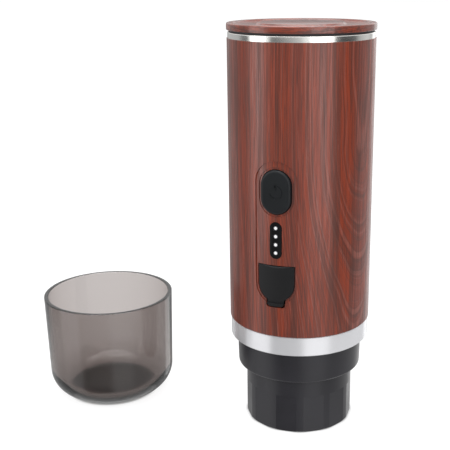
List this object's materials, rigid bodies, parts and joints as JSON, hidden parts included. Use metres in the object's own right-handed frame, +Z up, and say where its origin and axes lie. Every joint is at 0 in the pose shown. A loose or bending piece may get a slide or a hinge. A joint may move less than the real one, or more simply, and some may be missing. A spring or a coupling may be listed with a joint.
{
  "type": "portable electric espresso maker",
  "caption": "Battery espresso maker: wood-grain barrel with screw lid over a heated tank, front button and charging flap, pump inside, twist-off capsule holder below, smoke cup beside.",
  "frame": {"origin": "centre of the capsule holder's foot ring, on the surface that the machine stands on", "axes": "+Z up along the machine's axis, -Y the front with the button, -X towards the cup"},
  "size_m": [0.1792, 0.0829, 0.2042],
  "materials": {
    "wood_grain": "wood-grain printed plastic, satin lacquer",
    "black_plastic": "fine satin",
    "inner_black_plastic": "satin",
    "chassis_plastic": "plain moulded",
    "steel_band": "polished",
    "tank_steel": "drawn, satin",
    "ring_aluminium": "brushed, anodised",
    "heater_aluminium": "plain",
    "seal_silicone": "matt silicone",
    "flap_rubber": "matt",
    "button_rubber": "soft touch",
    "window_gloss": "gloss",
    "clear_guide": "clear",
    "led_white": "plain",
    "switch_black": "plain",
    "board_green": "solder mask",
    "screw_steel": "plain",
    "socket_steel": "plain",
    "cell_wrap": "shrink sleeve; light metal stands for the cell's mean density",
    "nickel": "plain strip",
    "motor_steel": "plated",
    "clear_silicone": "clear silicone",
    "sensor_epoxy": "plain",
    "smoke_plastic": "clear smoke grey"
  },
  "bodies": {
    "machine": {"outer_shell": "wood_grain", "brew_head": "black_plastic", "wobble_plate": "inner_black_plastic", "pump_valve_body": "inner_black_plastic", "pump_frame": "inner_black_plastic", "brew_check_valve": "inner_black_plastic", "tank_outlet_fitting": "inner_black_plastic", "chassis_base": "chassis_plastic", "chassis_top": "chassis_plastic", "top_band": "steel_band", "water_tank": "tank_steel", "shower_plate": "tank_steel", "bottom_ring": "ring_aluminium", "tank_heater": "heater_aluminium", "tank_seal": "seal_silicone", "brew_gasket": "seal_silicone", "pump_foot": "seal_silicone", "motor_mount": "seal_silicone", "pump_diaphragm": "seal_silicone", "indicator_window": "window_gloss", "light_guide": "clear_guide", "indicator_leds": "led_white", "tactile_switch": "switch_black", "control_board": "board_green", "board_screws": "screw_steel", "chassis_screws": "screw_steel", "head_screws": "screw_steel", "usb_socket": "socket_steel", "battery_cell_1": "cell_wrap", "battery_cell_2": "cell_wrap", "battery_cell_3": "cell_wrap", "cell_links": "nickel", "pump_motor": "motor_steel", "inlet_tube": "clear_silicone", "outlet_tube": "clear_silicone", "temperature_sensor": "sensor_epoxy", "thermal_fuse": "sensor_epoxy"},
    "lid_carrier": {"lid_seal": "seal_silicone"},
    "lid": {"lid_cap": "wood_grain", "lid_plug": "inner_black_plastic", "lid_vent_valve": "seal_silicone"},
    "button": {"power_button": "button_rubber", "switch_plunger": "switch_black"},
    "flap": {"usb_flap": "flap_rubber"},
    "pump_rotor": {"motor_shaft": "motor_steel", "pump_eccentric": "motor_steel"},
    "holder_carrier": {"filter_basket": "tank_steel"},
    "holder": {"capsule_holder": "black_plastic", "outlet_nozzle": "inner_black_plastic"},
    "cup": {"cup": "smoke_plastic"}
  },
  "joints": [
    {"name": "lid_rise", "type": "slide", "parent": "machine", "child": "lid_carrier", "axis": [0, 0, 1], "range_m": [0, 0.018]},
    {"name": "lid_turn", "type": "hinge", "parent": "lid_carrier", "child": "lid", "pos_m": [0, 0, 0.2], "axis": [0, 0, 1], "range_deg": [0, 540.5]},
    {"name": "button_press", "type": "slide", "parent": "machine", "child": "button", "axis": [0, 1, 0], "range_m": [0, 0.0006], "stiffness_N_per_m": 1500, "springref_m": -0.0002},
    {"name": "flap_open", "type": "hinge", "parent": "machine", "child": "flap", "pos_m": [0, -0.03447, 0.09077], "axis": [-1, 0, 0], "range_deg": [0, 90]},
    {"name": "pump_spin", "type": "hinge", "parent": "machine", "child": "pump_rotor", "pos_m": [0, 0, 0.11], "axis": [0, 0, 1], "continuous": true},
    {"name": "holder_drop", "type": "slide", "parent": "machine", "child": "holder_carrier", "axis": [0, 0, -1], "range_m": [0, 0.018]},
    {"name": "holder_turn", "type": "hinge", "parent": "holder_carrier", "child": "holder", "pos_m": [0, 0, 0.03], "axis": [0, 0, -1], "range_deg": [0, 540.5]},
    {"name": "cup_lift", "type": "slide", "parent": "machine", "child": "cup", "axis": [0, 0, 1], "range_m": [0, 0.12]}
  ],
  "couplings": [
    {"joint": "lid_turn", "follows": "lid_rise", "rad_per_m": 523.6},
    {"joint": "holder_turn", "follows": "holder_drop", "rad_per_m": 523.6}
  ]
}
